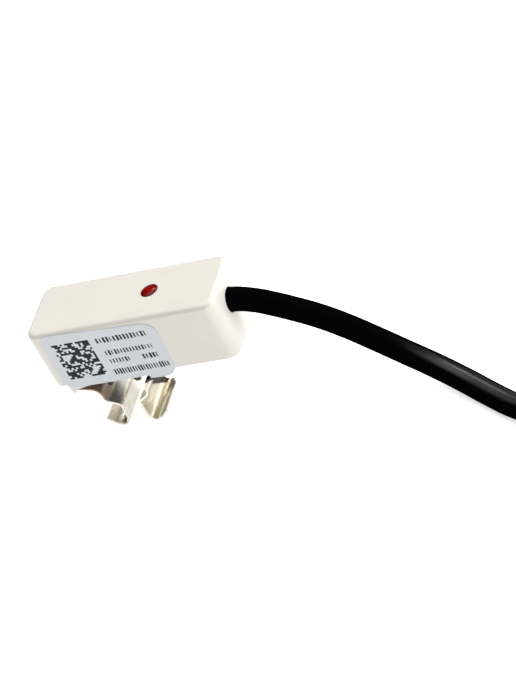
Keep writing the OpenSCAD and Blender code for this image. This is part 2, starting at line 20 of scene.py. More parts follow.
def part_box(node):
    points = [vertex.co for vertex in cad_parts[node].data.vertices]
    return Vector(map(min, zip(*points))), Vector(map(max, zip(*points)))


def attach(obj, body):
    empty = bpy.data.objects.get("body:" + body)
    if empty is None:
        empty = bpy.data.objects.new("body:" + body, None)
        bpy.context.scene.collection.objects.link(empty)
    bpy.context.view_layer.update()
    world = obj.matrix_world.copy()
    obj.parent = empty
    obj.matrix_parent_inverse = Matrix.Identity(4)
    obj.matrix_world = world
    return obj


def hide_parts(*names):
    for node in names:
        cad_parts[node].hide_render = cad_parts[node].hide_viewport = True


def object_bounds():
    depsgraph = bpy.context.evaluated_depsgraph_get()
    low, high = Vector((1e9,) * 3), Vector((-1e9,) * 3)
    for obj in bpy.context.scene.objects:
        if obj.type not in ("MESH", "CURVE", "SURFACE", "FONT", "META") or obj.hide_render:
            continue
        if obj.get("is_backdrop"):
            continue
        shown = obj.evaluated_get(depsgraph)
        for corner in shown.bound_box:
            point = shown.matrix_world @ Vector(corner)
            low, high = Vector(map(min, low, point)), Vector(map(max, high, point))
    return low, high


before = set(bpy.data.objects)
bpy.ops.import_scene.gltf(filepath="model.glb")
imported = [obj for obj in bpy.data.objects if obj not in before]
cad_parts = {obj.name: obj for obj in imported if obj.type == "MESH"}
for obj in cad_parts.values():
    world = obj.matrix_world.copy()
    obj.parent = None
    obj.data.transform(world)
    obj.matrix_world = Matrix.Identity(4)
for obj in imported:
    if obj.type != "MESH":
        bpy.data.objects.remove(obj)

bl_info = {
    "name": "Clip-on Level Sensor",
    "version": (1, 0, 0),
    "blender": (4, 5, 0),
    "location": "View3D > Sidebar > Level Sensor",
    "description": "Dresses the clip-on level sensor and sets its stage",
    "category": "Object",
}

MM = 0.001
BODY = "root"

# The routes and places below are in millimetres, unless they say otherwise

# The lead's route: inside the body, down to the surface, and into the hank
LEAD_ROUTE = [
    (17.3, 0, 11.9), (23.6, 0, 11.9), (25.2, -0.05, 11.7), (27.5, -0.22, 11.1),
    (30.1, -0.47, 10.05), (33, -0.77, 8.68), (36.5, -1.15, 6.84), (40.6, -1.97, 4.54),
    (45, -3.07, 1.76), (49.5, -4.4, -1), (54, -6.4, -2.8), (59, -9.6, -3.8),
    (64, -13.4, -4.2), (69, -17, -4.35), (74, -19.6, -4.2), (80, -20.5, -3.9),
]

# The hank: the X where its straight runs start, their length and the shares of it where they
# have points, the Y of its middle line, the radii of its folds, the height of its lower strands,
# and one step round a fold
HANK_X = 92.0
HANK_RUN = 41.0
RUN_STOPS = (0.0, 0.25, 0.5, 0.75)
HANK_Y = -4.5
OUTER_FOLD = 16.0
INNER_FOLD = 12.0
STRAND_Z = -3.9
STEP_DEG = 15
# A strand that lies in the groove between two others stands this far round from the outer one
NEST_DEG = 60
# The last turn's middle and its rise
TURN_IN = (134.5, -8.1)
TURN_RISE = 0.5

# From the top of the hank's right fold down into its middle
TAIL_ROUTE = [
    (144.9, -9, 0.1), (144.9, -7.4, 0.1), (144.5, -5.1, 0.12), (143.5, -2.9, 0.12),
    (141.8, -0.8, 0.1), (139.7, 0.9, -0.3), (137.2, 1.9, -1.2), (134.5, 2.3, -2.3),
    (130.5, 2.5, -3.5), (126.5, 2.4, -4.2), (122.5, 2.2, -4.4), (121, 2.2, -4.4),
]

# The four bare cores: their place across the jacket's end in Y and Z, and their route past it
CORE_PLACES = {
    "brown": (0.62, 0.62), "yellow": (-0.62, 0.62),
    "blue": (-0.62, -0.62), "black": (0.62, -0.62),
}
CORE_ROUTES = {
    "brown": [(116, 3.8, -4.5), (110, 4.5, -5.6), (103, 4.3, -5.8), (98, 4, -5.8)],
    "yellow": [(116, 1.1, -4.3), (110, -0.6, -5.6), (103, -1.4, -5.8), (97, -1.5, -5.8)],
    "blue": [(116, 0.7, -5.5), (110, -2.6, -5.78), (103, -4.8, -5.8), (98, -5.2, -5.8)],
    "black": [(116, 2.6, -5.5), (111.5, 2.4, -5.78), (105.5, 1.7, -5.8), (100.5, 1.3, -5.8)],
}
# A core starts inside the jacket, and leaves it straight
CORE_INSIDE = 3.0
CORE_STRAIGHT = 1.0

# A tinned tip: its length, its radius as a share of the core's diameter, its strands round the
# middle one, the rings along it, its turns, and how much closer the strands lie at its end
TIP_LENGTH = 4.0
TIP_SHARE = 0.375
TIP_STRANDS = 6
TIP_RINGS = 10
TIP_TURNS = 0.9
TIP_TAPER = 0.12

# The label on the cheek: its middle in X and Z, the height of the cheek's edge that it is cut
# along, the X past which its corner hangs loose, and the points round one of its corners
LABEL_MIDDLE = (2.35, 9.9)
CUT_Z = 4.57
LOOSE_X = 7.2
CORNER_POINTS = 13

# The print: the lower left corner of the block of squares, the side of a square, and its
# columns and rows; then the rows of bars, each with its first and last X, its bottom and top Z
# and the pitch of its bars; and what sets the rows' chances apart
BLOCK_CORNER = (-6.35, 6.35)
SQUARE = 0.4
BLOCK_COLUMNS, BLOCK_ROWS = 17, 19
BAR_ROWS = (
    (1.7, 10.6, 12.75, 13.95, 0.62),
    (2.1, 10.5, 10.05, 11.15, 0.55),
    (2.1, 5.9, 8.25, 9.35, 0.55),
    (8.0, 10.6, 8.15, 9.25, 0.6),
    (1.8, 11.8, 5.85, 7.1, 0.48),
)
ROW_SEED = 17.3

# The lamp: its flange's thickness and how far below the face its wall has its last ring, both
# in metres; the rings from its lens's edge to the middle, and its sides
LAMP_FLANGE = 0.001
LAMP_WALL = 0.0004
LENS_STEPS = 12
LAMP_SIDES = 64

# Places on the spring strip where shade is painted: the reach of the arms, the rolled part of a
# lip, and the foot and far end of the arm under the label's loose corner. A pair is a soft edge
ARM_REACH = 3.5
ROLL_STARTS, ROLL_ENDS, ROLL_TOP = (2.3, 2.5), (3.1, 3.4), -4.8
FOOT_X, FOOT_Z = 4, 1.7
ARM_END_X, ARM_END_Z, ARM_END_SLANT = 2.8, (-3.2, -2.7), (-2.8, -2.4)

# The soft edge along X past which the lead's top is worn
WEAR_STARTS = (44, 66)

# Colours that no setting holds
SOFT_BLACK = (0.02, 0.02, 0.022)
NYLON_WHITE = (0.75, 0.72, 0.64)
CAPACITOR_TAN = (0.38, 0.24, 0.12)
RESISTOR_DARK = (0.03, 0.03, 0.04)
# Painted shade on the strip by the body
BODY_SHADE_BROWN = (0.31, 0.205, 0.14)
# Painted shade in the rolls of the lips
ROLL_SHADE_BROWN = (0.3, 0.24, 0.12)
# Painted shade under the label's loose corner
PAINTED_SHADE_DARK = (0.02, 0.01, 0.005)
COPPER = (0.6, 0.25, 0.12), (0.85, 0.42, 0.24)
GILT = (0.75, 0.5, 0.18), (0.9, 0.68, 0.3)

# The camera, at the photograph's place and with its framing
CAMERA_PLACE = (213.67, -305.912, 257.574)
CAMERA_RIGHT = (0.890381, 0.218858, -0.399152)
CAMERA_UP = (0.149879, 0.687008, 0.711025)
CAMERA_LENS = 145.52
CAMERA_FILM = 36

# The soft boxes, in metres: what they face, and each one's place, side and power setting
LIGHT_AIM = (0.012, 0, 0.008)
SOFT_BOXES = {
    "end_box": ((0.85, 0.06, 0.16), 0.7, "end_light"),
    "top_box": ((-0.1, 0.1, 0.9), 0.8, "top_light"),
    "back_box": ((0.6, 0.85, 0.65), 1.2, "back_light"),
    "rim_box": ((-0.1, 0.66, 0.66), 0.16, "rim_light"),
}


# Sizes and colours that a user would change


class LeadSettings(bpy.types.PropertyGroup):
    jacket: FloatProperty(
        name="Jacket", description="Diameter of the lead's jacket",
        default=0.004, min=0.003, max=0.005, unit="LENGTH", precision=4,
    )
    core: FloatProperty(
        name="Core", description="Diameter of each of the four cores",
        default=0.0012, min=0.0008, max=0.0014, unit="LENGTH", precision=4,
    )
    jacket_colour: FloatVectorProperty(
        name="Jacket Colour", description="Colour of the lead's jacket",
        subtype="COLOR", size=3, min=0, max=1, default=(0.0012, 0.0012, 0.0013),
    )
    brown: FloatVectorProperty(
        name="Brown Core", description="Colour of the brown core",
        subtype="COLOR", size=3, min=0, max=1, default=(0.13, 0.045, 0.015),
    )
    yellow: FloatVectorProperty(
        name="Yellow Core", description="Colour of the yellow core",
        subtype="COLOR", size=3, min=0, max=1, default=(0.78, 0.5, 0.03),
    )
    blue: FloatVectorProperty(
        name="Blue Core", description="Colour of the blue core",
        subtype="COLOR", size=3, min=0, max=1, default=(0.015, 0.1, 0.45),
    )
    black: FloatVectorProperty(
        name="Black Core", description="Colour of the black core",
        subtype="COLOR", size=3, min=0, max=1, default=(0.01, 0.01, 0.011),
    )
    strand_sides: IntProperty(
        name="Strand Sides", description="Facets around each strand of a tinned tip",
        default=8, min=6, max=16,
    )


class LabelSettings(bpy.types.PropertyGroup):
    length: FloatProperty(
        name="Length", description="Length of the label",
        default=0.0203, min=0.015, max=0.021, unit="LENGTH", precision=4,
    )
    height: FloatProperty(
        name="Height", description="Height of the label",
        default=0.0114, min=0.008, max=0.0115, unit="LENGTH", precision=4,
    )
    thickness: FloatProperty(
        name="Thickness", description="Thickness of the label",
        default=0.0001, min=0.00005, max=0.0002, unit="LENGTH", precision=5,
    )
    left_corner: FloatProperty(
        name="Left Corners", description="Radius of the label's corners near the far end",
        default=0.0016, min=0.001, max=0.003, unit="LENGTH", precision=4,
    )
    right_corner: FloatProperty(
        name="Right Corners", description="Radius of the label's corners near the lead",
        default=0.0023, min=0.001, max=0.003, unit="LENGTH", precision=4,
    )
    slant: FloatProperty(
        name="Slant", description="Slant of the label on the body",
        default=math.radians(-2.5), min=math.radians(-4), max=0, subtype="ANGLE",
    )
    paper: FloatVectorProperty(
        name="Paper", description="Colour of the label's film",
        subtype="COLOR", size=3, min=0, max=1, default=(0.65, 0.68, 0.71),
    )
    ink: FloatVectorProperty(
        name="Ink", description="Colour of the printed blocks and bars",
        subtype="COLOR", size=3, min=0, max=1, default=(0.006, 0.007, 0.012),
    )


class LampSettings(bpy.types.PropertyGroup):
    diameter: FloatProperty(
        name="Diameter", description="Diameter of the lamp",
        default=0.0029, min=0.0026, max=0.0032, unit="LENGTH", precision=4,
    )
    lens_rise: FloatProperty(
        name="Lens Rise", description="Rise of the lens over the face",
        default=0.0003, min=0.0002, max=0.0005, unit="LENGTH", precision=4,
    )
    red: FloatVectorProperty(
        name="Red", description="Colour of the lamp's lens",
        subtype="COLOR", size=3, min=0, max=1, default=(0.22, 0.001, 0.001),
    )


class ShellSettings(bpy.types.PropertyGroup):
    white: FloatVectorProperty(
        name="White", description="Colour of the moulded body",
        subtype="COLOR", size=3, min=0, max=1, default=(0.73, 0.70, 0.633),
    )
    steel: FloatVectorProperty(
        name="Steel", description="Colour of the spring strip",
        subtype="COLOR", size=3, min=0, max=1, default=(0.71, 0.68, 0.6),
    )
    grain: FloatProperty(
        name="Grain", description="Depth of the fine grain in the moulded faces",
        default=0.000004, min=0, max=0.00003, unit="LENGTH", precision=6,
    )


class StageSettings(bpy.types.PropertyGroup):
    floor_size: FloatProperty(
        name="Floor", description="Side of the square floor",
        default=6.0, min=1.0, max=20.0, unit="LENGTH",
    )
    floor_colour: FloatVectorProperty(
        name="Floor Colour", description="Colour of the pale floor",
        subtype="COLOR", size=3, min=0, max=1, default=(0.97, 0.97, 0.97),
    )
    floor_glow: FloatProperty(
        name="Floor Glow",
        description="Light that the floor gives off itself, so that shadows stay pale",
        default=0.66, min=0, max=2,
    )
    sky: FloatProperty(
        name="Ambient Light", description="Strength of the light from all around",
        default=0.1, min=0, max=3,
    )
    end_light: FloatProperty(
        name="End Light", description="Power of the soft box by the lead's end",
        default=6.1, min=0, max=60,
    )
    top_light: FloatProperty(
        name="Top Light", description="Power of the soft box above",
        default=6.9, min=0, max=60,
    )
    back_light: FloatProperty(
        name="Back Light", description="Power of the wide soft box behind",
        default=8, min=0, max=60,
    )
    rim_light: FloatProperty(
        name="Rim Light", description="Power of the small box that draws the highlights",
        default=1.0, min=0, max=60,
    )
    shadows: BoolProperty(
        name="Soft Shadows", description="Let the soft boxes cast shadows", default=True,
    )


# Materials


class Value:
    """A number, colour or vector on its way through a finish's nodes.

    An expression on values adds its Math nodes.
    """

    def __init__(self, finish, socket):
        self.finish = finish
        self.socket = socket

    def maths(self, operation, *values):
        return self.finish.node(
            "ShaderNodeMath", {"operation": operation}, dict(enumerate(values))
        )

    def __add__(self, other):
        return self.maths("ADD", self, other)

    __radd__ = __add__

    def __sub__(self, other):
        return self.maths("SUBTRACT", self, other)

    def __rsub__(self, other):
        return self.maths("SUBTRACT", other, self)

    def __mul__(self, other):
        return self.maths("MULTIPLY", self, other)

    __rmul__ = __mul__

    def __truediv__(self, other):
        return self.maths("DIVIDE", self, other)

    def __pow__(self, other):
        return self.maths("POWER", self, other)

    def __gt__(self, other):
        return self.maths("GREATER_THAN", self, other)

    def __lt__(self, other):
        return self.maths("LESS_THAN", self, other)

    def __abs__(self):
        return self.maths("ABSOLUTE", self)

    def whole(self):
        return self.maths("FLOOR", self)

    def part(self):
        return self.maths("FRACT", self)

    def least(self, other):
        return self.maths("MINIMUM", self, other)

    def most(self, other):
        return self.maths("MAXIMUM", self, other)

    def between(self, low, high):
        """1 from low to high, and 0 outside."""
        return (self > low) * (self < high)

    def ramp(self, low, high):
        """Smoothly 0 below low and 1 above high."""
        return self.finish.node(
            "ShaderNodeMapRange",
            {"interpolation_type": "SMOOTHSTEP"},
            {"Value": self, "From Min": low, "From Max": high},
        )


class Finish:
    """A material for one kind of surface, built from nodes."""

    def __init__(self, name, **constants):
        self.material = bpy.data.materials.new(name)
        self.material.use_nodes = True
        self.tree = self.material.node_tree
        self.tree.nodes.clear()
        sockets = {
            word.replace("_", " ").title().replace("Ior", "IOR"): value
            for word, value in constants.items()
        }
        surface = self.node("ShaderNodeBsdfPrincipled", None, sockets)
        self.shader = surface.socket.node
        self.node("ShaderNodeOutputMaterial", None, {"Surface": surface}, output=None)

    def put(self, node, socket, value):
        """Links or sets one of a node's inputs."""
        target = node.inputs[socket]
        if isinstance(value, Value):
            self.tree.links.new(value.socket, target)
        elif hasattr(value, "__len__") and target.type == "RGBA":
            target.default_value = (*value[:3], 1.0)
        else:
            target.default_value = value

    def node(self, kind, settings=None, inputs=None, output=0):
        """Adds a node with its settings and its inputs, and gives one of its outputs, if any."""
        node = self.tree.nodes.new(kind)
        for setting, value in (settings or {}).items():
            setattr(node, setting, value)
        for socket, value in (inputs or {}).items():
            self.put(node, socket, value)
        return None if output is None else Value(self, node.outputs[output])

    def feed(self, socket, value):
        """Feeds one of the shader's inputs."""
        self.put(self.shader, socket, value)

    def place(self):
        """The point's place on the object, in metres."""
        return self.node("ShaderNodeTexCoord", output="Object")

    def axes(self):
        """The point's X, Y and Z, in millimetres."""
        split = self.node("ShaderNodeSeparateXYZ", None, {0: self.place()}).socket.node
        return [Value(self, out) * 1000.0 for out in split.outputs]

    def upward(self):
        """How far the surface faces up, from -1 to 1."""
        normal = self.node("ShaderNodeNewGeometry", output="Normal")
        return self.node("ShaderNodeSeparateXYZ", None, {0: normal}, output="Z")

    def noise(self, size, detail=2.0, roughness=0.5, stretch=(1, 1, 1)):
        """Noise with patches of one size, in metres. Stretch makes it finer along an axis."""
        scaled = self.node(
            "ShaderNodeVectorMath", {"operation": "MULTIPLY"},
            {0: self.place(), 1: tuple(s / size for s in stretch)},
        )
        return self.node(
            "ShaderNodeTexNoise", None,
            {"Vector": scaled, "Scale": 1.0, "Detail": detail, "Roughness": roughness},
        )

    def mix(self, amount, first, second):
        """A colour between two colours."""
        return self.node(
            "ShaderNodeMix", {"data_type": "RGBA"}, {0: amount, 6: first, 7: second}, output=2
        )

    def relief(self, height, depth):
        """Feeds the shader's normal from a height, with its depth in metres."""
        self.feed("Normal", self.node(
            "ShaderNodeBump", None, {"Strength": 1.0, "Distance": depth, "Height": height},
        ))


def tint(colour, factor):
    """A lighter or darker copy of a colour."""
    return tuple(min(1.0, c * factor) for c in colour)


def moulded_white(settings):
    """Bright moulded plastic, a little warm, with a fine grain and faint handling marks."""
    finish = Finish("moulded_white", ior=1.5)
    dull, bright = tint(settings.white, 0.985), tint(settings.white, 1.01)
    handled = finish.noise(0.006, detail=3).ramp(0.3, 0.7)
    finish.feed("Base Color", finish.mix(handled, dull, bright))
    rubbed = finish.noise(0.0022, detail=4).ramp(0.25, 0.75)
    finish.feed("Roughness", 0.36 + 0.12 * rubbed)
    finish.relief(finish.noise(0.00025, detail=3, roughness=0.6), settings.grain)
    return finish.material


def cover_black():
    """Dark moulded plastic of the rear cover, with a slightly coarser grain than the body."""
    finish = Finish("cover_black")
    dark, light = (0.009, 0.008, 0.007), (0.017, 0.015, 0.013)
    finish.feed("Base Color", finish.mix(finish.noise(0.004), dark, light))
    finish.feed("Roughness", 0.45 + 0.1 * finish.noise(0.001, detail=3))
    finish.relief(finish.noise(0.0003, detail=3, roughness=0.6), depth=0.000006)
    return finish.material


def spring_steel(settings):
    """Bright rolled strip with fine lines along it, tarnish and small specks, and painted shade by
    the body, in the lips' rolls and under the label's loose corner.
    """
    finish = Finish("spring_steel")
    lines = finish.noise(0.0004, detail=4, roughness=0.65, stretch=(0.4, 9, 0.4))
    tarnish = finish.noise(0.0035, detail=3, roughness=0.55).ramp(0.35, 0.75)
    specks = finish.noise(0.0005, roughness=0.6).ramp(0.62, 0.78)
    steel = settings.steel
    base = finish.mix(tarnish, tint(steel, 1.08), tint(steel, 0.9))
    base = finish.mix(specks * 0.4, base, tint(steel, 0.6))
    # Painted shade: browner by the body and less metallic there, and browner in the rolls of the
    # lips
    across, along, up = finish.axes()
    body_shade = (up - 0.4 * across.least(ARM_REACH)).ramp(0, 1)
    base = finish.mix(body_shade * 0.9, base, BODY_SHADE_BROWN)
    finish.feed("Metallic", 1 - 0.6 * body_shade)
    out = abs(across)
    # Painted shade in the rolls of the lips: browner there
    roll_shade = out.ramp(*ROLL_STARTS) * (1 - out.ramp(*ROLL_ENDS)) * (up < ROLL_TOP)
    base = finish.mix(roll_shade * 0.85, base, ROLL_SHADE_BROWN)
    # Painted shade, dark under the label's loose corner: the foot there, and the far end of its
    # arm
    foot = (across > FOOT_X) * (up > FOOT_Z)
    arm_end = across.between(0, ARM_END_X) * (1 - up.ramp(*ARM_END_Z))
    arm_end = arm_end * (along + 1.1 * up + 0.3 * tarnish).ramp(*ARM_END_SLANT)
    finish.feed("Base Color", finish.mix((foot + arm_end) * 0.95, base, PAINTED_SHADE_DARK))
    finish.feed("Roughness", 0.2 + 0.12 * lines + 0.12 * tarnish)
    finish.relief(lines, depth=0.000006)
    return finish.material


def label_film(settings):
    """Pale film with a block of scattered squares and rows of bars. The print says nothing."""
    finish = Finish("label_film", specular_ior_level=0.12)
    across, _, up = finish.axes()
    # The block: some of its squares are printed
    block_x, block_z = BLOCK_CORNER
    column, row = (across - block_x) / SQUARE, (up - block_z) / SQUARE
    square = finish.node("ShaderNodeCombineXYZ", None, {0: column.whole(), 1: row.whole()})
    chance = finish.node(
        "ShaderNodeTexWhiteNoise", {"noise_dimensions": "2D"}, {"Vector": square}
    )
    in_block = column.between(0, BLOCK_COLUMNS) * row.between(0, BLOCK_ROWS)
    print_mask = (chance > 0.42) * in_block
    # The rows: each bar has its own width and height
    for index, (x0, x1, z0, z1, pitch) in enumerate(BAR_ROWS):
        place = (across - x0) / pitch
        chance = finish.node(
            "ShaderNodeTexWhiteNoise", {"noise_dimensions": "1D"},
            {"W": place.whole() + ROW_SEED * index},
        )
        bar = place.part() < (0.34 + 0.34 * chance)
        tall = abs(up - (z0 + z1) / 2) < ((z1 - z0) * (0.36 + 0.14 * chance))
        print_mask = print_mask.most(bar * tall * across.between(x0, x1))
    cloud = finish.noise(0.005)
    paper = finish.mix(cloud, tint(settings.paper, 0.97), tint(settings.paper, 1.03))
    inked = print_mask * (0.985 + 0.01 * finish.noise(0.0004))
    finish.feed("Base Color", finish.mix(inked, paper, settings.ink))
    finish.feed("Roughness", 0.34 + 0.12 * print_mask + 0.06 * cloud)
    finish.relief(print_mask * 0.4 + finish.noise(0.0012) * 0.6, depth=0.000005)
    return finish.material


def lamp_red(settings, x, y):
    """Deep red lens with painted shade round its rim, lighter round its axis, which stands at x
    and y.
    """
    finish = Finish("lamp_red", specular_ior_level=0.1)
    red = settings.red
    across, along, _ = finish.axes()
    from_axis = ((across - x / MM) ** 2.0 + (along - y / MM) ** 2.0) ** 0.5
    # Painted shade: darker round the lens's rim
    rim = from_axis.ramp(0.85, 1.42)
    heart = 1.0 - from_axis.ramp(0.0, 0.75)
    base = finish.mix(rim, finish.mix(heart, red, tint(red, 1.15)), tint(red, 0.35))
    speckle = finish.noise(0.0002).ramp(0.4, 0.7)
    finish.feed("Base Color", finish.mix(speckle * 0.25, base, tint(red, 0.75)))
    finish.feed("Roughness", 0.1 + 0.1 * speckle)
    return finish.material


def rubber_black():
    """Soft black rubber, slightly dusty."""
    finish = Finish("rubber_black")
    clean, dusty = (0.008, 0.008, 0.009), (0.022, 0.022, 0.023)
    dust = finish.noise(0.0006, detail=4, roughness=0.6).ramp(0.45, 0.8)
    finish.feed("Base Color", finish.mix(dust, clean, dusty))
    finish.feed("Roughness", 0.55 + 0.2 * dust)
    finish.relief(finish.noise(0.0002), depth=0.000006)
    return finish.material


def jacket_black(colour):
    """Smooth drawn jacket with faint waves from the cores inside.

    Past the body its top is worn to a sheen.
    """
    finish = Finish("jacket_black", specular_ior_level=0.0, coat_roughness=0.3)
    worn = finish.axes()[0].ramp(*WEAR_STARTS) * finish.upward().ramp(0.78, 1.0)
    finish.feed("Coat Weight", 0.9 * worn)
    cloud = finish.noise(0.003, detail=3)
    finish.feed("Base Color", finish.mix(cloud, tint(colour, 0.8), tint(colour, 1.7)))
    finish.feed("Roughness", 0.36 + 0.16 * finish.noise(0.0008, detail=4, roughness=0.6))
    waves, grain = finish.noise(0.0035), finish.noise(0.0003)
    finish.relief(waves * 0.8 + grain * 0.2, depth=0.00004)
    return finish.material


def core_plastic(name, colour):
    """Smooth coloured core, paler in patches."""
    finish = Finish(name)
    cloud = finish.noise(0.002, detail=3).ramp(0.3, 0.75)
    finish.feed("Base Color", finish.mix(cloud, tint(colour, 0.88), tint(colour, 1.15)))
    finish.feed("Roughness", 0.34 + 0.14 * finish.noise(0.0006, detail=3))
    finish.relief(finish.noise(0.0004), depth=0.000005)
    return finish.material


def bright_tin():
    """Tinned metal: silvery, uneven, soft reflections."""
    finish = Finish("bright_tin", metallic=1.0)
    dull, bright = (0.62, 0.62, 0.63), (0.82, 0.82, 0.82)
    pool = finish.noise(0.0004, detail=3).ramp(0.3, 0.7)
    finish.feed("Base Color", finish.mix(pool, dull, bright))
    finish.feed("Roughness", 0.22 + 0.22 * pool)
    finish.relief(pool, depth=0.00001)
    return finish.material


def plain_metal(name, dark, light, roughness):
    """Rolled metal with fine lines."""
    finish = Finish(name, metallic=1.0)
    lines = finish.noise(0.0003, detail=3, roughness=0.6, stretch=(1, 8, 1))
    finish.feed("Base Color", finish.mix(lines, dark, light))
    finish.feed("Roughness", roughness + 0.12 * lines)
    finish.relief(lines, depth=0.000003)
    return finish.material


def board_green():
    """Lacquered board with copper tracks showing through."""
    finish = Finish("board_green", coat_weight=0.3)
    dark, light, over_copper = (0.006, 0.07, 0.025), (0.012, 0.11, 0.04), (0.03, 0.2, 0.06)
    track_pitch, section, shift = 0.6, 3.1, 0.35
    across, along, _ = finish.axes()
    lane = (along / track_pitch + shift * (across / section).whole()).part()
    track = (abs(lane - 0.5) < 0.16) * (finish.noise(0.0035, detail=1) > 0.46)
    weave = finish.noise(0.0003, stretch=(1, 3, 1))
    lacquer = finish.mix(weave, dark, light)
    finish.feed("Base Color", finish.mix(track, lacquer, over_copper))
    finish.feed("Roughness", 0.32 + 0.1 * weave)
    finish.relief(track + weave * 0.2, depth=0.00002)
    return finish.material


def moulded_dark(name, colour, size):
    """Matt moulded or fired case with a fine grain."""
    finish = Finish(name)
    grain = finish.noise(size, detail=4, roughness=0.6)
    finish.feed("Base Color", finish.mix(grain, tint(colour, 0.75), tint(colour, 1.3)))
    finish.feed("Roughness", 0.5 + 0.25 * grain)
    finish.relief(grain, depth=0.00001)
    return finish.material


def strap_plastic(name, colour):
    """Strap plastic with fine ribs across it."""
    finish = Finish(name)
    rib_pitch = 0.45
    across, _, up = finish.axes()
    ribs = ((across + up) / rib_pitch).part().ramp(0.2, 0.8)
    cloud = finish.noise(0.0015, detail=3)
    finish.feed("Base Color", finish.mix(cloud, tint(colour, 0.85), tint(colour, 1.2)))
    finish.feed("Roughness", 0.4 + 0.2 * cloud)
    finish.relief(ribs, depth=0.00002)
    return finish.material


def floor_paper(settings):
    """Pale paper that gives off light of its own."""
    finish = Finish(
        "floor_paper", roughness=0.9,
        emission_color=(1, 1, 1), emission_strength=settings.floor_glow,
    )
    colour = settings.floor_colour
    cloud = finish.noise(0.08)
    finish.feed("Base Color", finish.mix(cloud, tint(colour, 0.995), tint(colour, 1.005)))
    return finish.material


def paint(node, material):
    """Gives a piece its material, in place of what it has."""
    node.data.materials.clear()
    node.data.materials.append(material)


# Shapes


def metres(point):
    """A point in millimetres, as a vector in metres."""
    return Vector(point) * MM


def dressed_piece(name, data, material, nodes):
    """A new piece that rides on the body, in place of the nodes that it stands for."""
    piece = bpy.data.objects.new(name, data)
    bpy.context.scene.collection.objects.link(piece)
    paint(piece, material)
    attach(piece, BODY)
    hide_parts(*nodes)
    return piece


def mesh_piece(name, build, material, *nodes, slot):
    """A piece with a mesh that build fills."""
    mesh = bpy.data.meshes.new(name)
    shape = bmesh.new()
    build(shape)
    bmesh.ops.recalc_face_normals(shape, faces=shape.faces)
    shape.to_mesh(mesh)
    shape.free()
    return dressed_piece(name, mesh, material, nodes)


def curve_piece(name, points, diameter, material, *nodes, slot):
    """A round cord along points in millimetres."""
    curve = bpy.data.curves.new(name, "CURVE")
    curve.dimensions = "3D"
    curve.resolution_u = 4
    curve.bevel_depth = diameter / 2
    curve.bevel_resolution = 4
    curve.use_fill_caps = True
    line = curve.splines.new("BEZIER")
    line.bezier_points.add(len(points) - 1)
    for knot, point in zip(line.bezier_points, points):
        knot.co = metres(point)
        knot.handle_left_type = knot.handle_right_type = "AUTO"
    return dressed_piece(name, curve, material, nodes)


def hank_points():
    """Two and a half turns of the hank: outer strand, inner strand, and one on top of both."""
    points = []
    middle = (OUTER_FOLD + INNER_FOLD) / 2
    ring = OUTER_FOLD - INNER_FOLD
    right_end = HANK_X + HANK_RUN

    def run(side, radius, rise):
        """A straight run, away from the body on side -1 and back towards it on side 1."""
        for stop in RUN_STOPS:
            share = stop if side < 0 else 1 - stop
            points.append((HANK_X + HANK_RUN * share, HANK_Y + side * radius, STRAND_Z + rise))

    def fold(x, first, place):
        """Half a turn round a point, where place gives the radius and the rise."""
        for turn in range(0, 180, STEP_DEG):
            radius, rise = place(turn / 180)
            angle = math.radians(first + turn)
            points.append((
                x + radius * math.cos(angle), HANK_Y + radius * math.sin(angle), STRAND_Z + rise,
            ))

    def eased(share):
        return share * share * (3 - 2 * share)

    def inwards(share):
        """The outer strand keeps its place, then slides in under the one that has risen."""
        return OUTER_FOLD - ring * eased(max(0.0, 2 * share - 1)), 0.0

    def upwards(share):
        """The inner strand climbs round the outer one, then lies over it as it slides in."""
        if share < 0.5:
            angle = math.radians(180 - NEST_DEG * eased(2 * share))
            return OUTER_FOLD + ring * math.cos(angle), ring * math.sin(angle)
        under = inwards(share)[0]
        return middle, math.sqrt(ring**2 - (under - middle) ** 2)

    top = math.sqrt(ring**2 - (ring / 2) ** 2)
    run(-1, OUTER_FOLD, 0)
    fold(right_end, -90, lambda share: (OUTER_FOLD, 0))
    run(1, OUTER_FOLD, 0)
    fold(HANK_X, 90, inwards)
    run(-1, INNER_FOLD, 0)
    fold(right_end, -90, lambda share: (INNER_FOLD, 0))
    run(1, INNER_FOLD, 0)
    fold(HANK_X, 90, upwards)
    run(-1, middle, top)
    # On top of the right fold the last strand turns in, tighter than those below it
    turn_x, turn_y = TURN_IN
    radius = turn_y - (HANK_Y - middle)
    for turn in range(0, 90, STEP_DEG):
        angle = math.radians(turn - 90)
        points.append((
            turn_x + radius * math.cos(angle), turn_y + radius * math.sin(angle),
            STRAND_Z + top + TURN_RISE * turn / 90,
        ))
    return points


def stranded_tip(shape, start, direction, radius, sides):
    """Fine strands of tinned wire, twisted round a middle one."""
    direction = direction.normalized()
    side = direction.cross(Vector((0, 0, 1))).normalized()
    lift = side.cross(direction)
    strand = radius / 3

    def around(angle):
        return math.cos(angle) * side + math.sin(angle) * lift

    for index in range(TIP_STRANDS + 1):
        loops = []
        for level in range(TIP_RINGS + 1):
            share = level / TIP_RINGS
            angle = math.tau * (index / TIP_STRANDS + TIP_TURNS * share)
            out = 0.0 if index == TIP_STRANDS else 2 * strand * (1 - TIP_TAPER * share)
            centre = start + direction * TIP_LENGTH * MM * share + out * around(angle)
            loops.append([
                shape.verts.new(centre + strand * around(math.tau * s / sides))
                for s in range(sides)
            ])
        for low, high in zip(loops, loops[1:]):
            for s in range(sides):
                shape.faces.new((low[s], low[s - 1], high[s - 1], high[s])).smooth = True
        shape.faces.new(loops[0])
        shape.faces.new(loops[-1])


